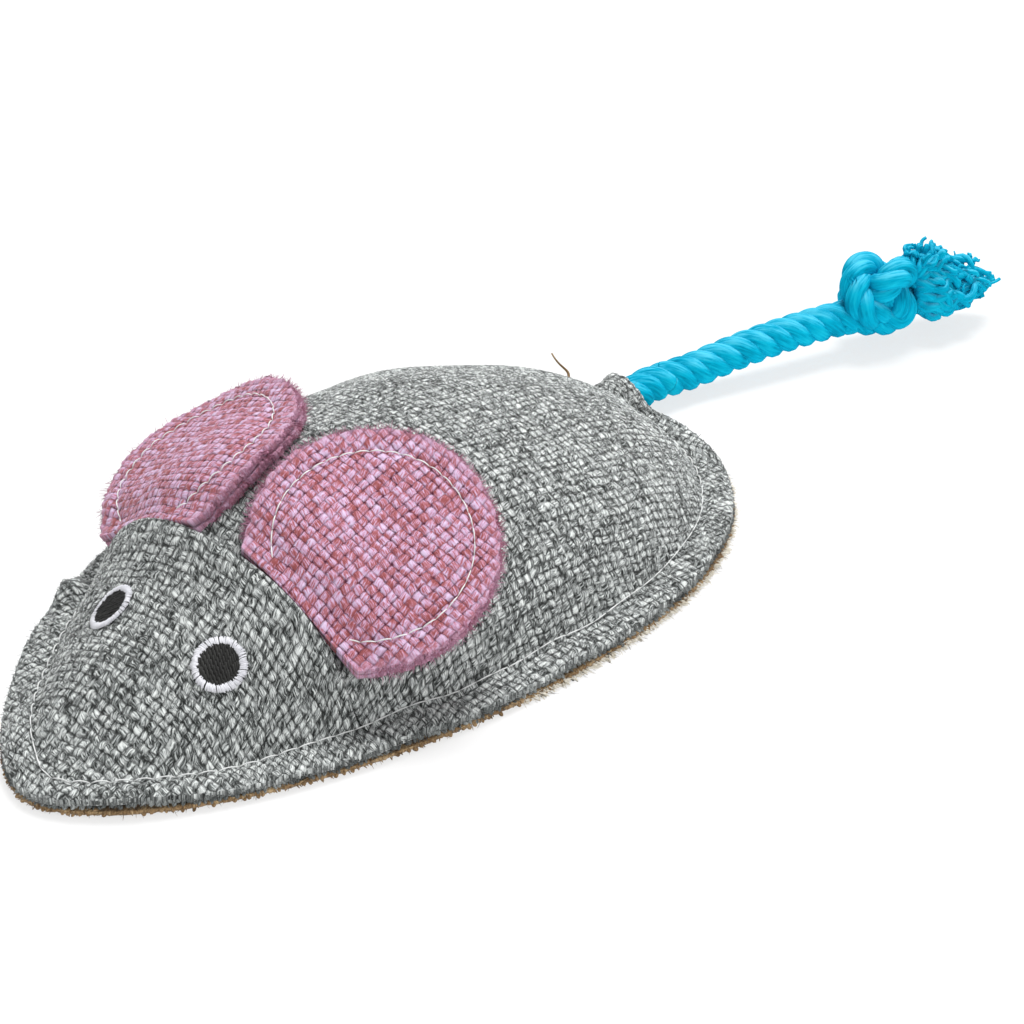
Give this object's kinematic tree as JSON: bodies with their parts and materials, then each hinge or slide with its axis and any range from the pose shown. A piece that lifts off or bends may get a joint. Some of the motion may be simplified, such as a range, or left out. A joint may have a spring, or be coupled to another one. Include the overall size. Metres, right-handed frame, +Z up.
{
  "type": "catnip mouse",
  "caption": "Stuffed cloth cat toy in the form of a mouse, with a flat belly, an open topstitched edge, floppy ears, embroidered eyes and a knotted rope tail.",
  "frame": {"origin": "middle of the body on the flat underside of the belly, without the tail", "axes": "+Z up, +Y from the nose to the tail, +X to the mouse's left side"},
  "size_m": [0.0844, 0.2163, 0.0358],
  "materials": {
    "belly_cloth": "coarse woven jute",
    "body_cloth": "coarse plain weave, melange grey",
    "ear_cloth": "coarse plain weave, lilac pink with brick red flecks",
    "thread": "twisted cotton sewing thread",
    "eye_black": "satin stitch embroidery",
    "eye_white": "satin stitch embroidery",
    "filling": "loose polyester fibre",
    "herb": "dried crumbled leaf",
    "rope": "three strand twisted cord"
  },
  "bodies": {
    "mouse": {"belly_panel": "belly_cloth", "face_panel": "body_cloth", "back_panel": "body_cloth", "stuffing": "filling", "catnip_filling": "herb", "edge_stitching": "thread", "eye_left_pupil": "eye_black", "eye_left_ring": "eye_white", "eye_right_pupil": "eye_black", "eye_right_ring": "eye_white", "tail_stub": "rope"},
    "ear_left": {"ear_left_back": "ear_cloth", "ear_left_front": "ear_cloth", "ear_left_stitching": "thread"},
    "ear_right": {"ear_right_back": "ear_cloth", "ear_right_front": "ear_cloth", "ear_right_stitching": "thread"},
    "tail_root": {"tail_root": "rope"},
    "tail": {"tail_rope": "rope", "tail_knot": "rope", "tail_fray": "rope"}
  },
  "joints": [
    {"name": "ear_left_flop", "type": "hinge", "parent": "mouse", "child": "ear_left", "pos_m": [0.0172, -0.02901, 0.02091], "axis": [0.9063, 0, -0.4226], "range_deg": [0, 100]},
    {"name": "ear_right_flop", "type": "hinge", "parent": "mouse", "child": "ear_right", "pos_m": [-0.0172, -0.02901, 0.02091], "axis": [0.9063, 0, 0.4226], "range_deg": [0, 100]},
    {"name": "tail_swing", "type": "hinge", "parent": "mouse", "child": "tail_root", "pos_m": [0, 0.0734, 0.0046], "axis": [0, 0, 1], "range_deg": [-50, 85]},
    {"name": "tail_lift", "type": "hinge", "parent": "tail_root", "child": "tail", "pos_m": [0.00276, 0.08301, 0.0046], "axis": [0.928, -0.3725, 0], "range_deg": [-35, 80]}
  ]
}
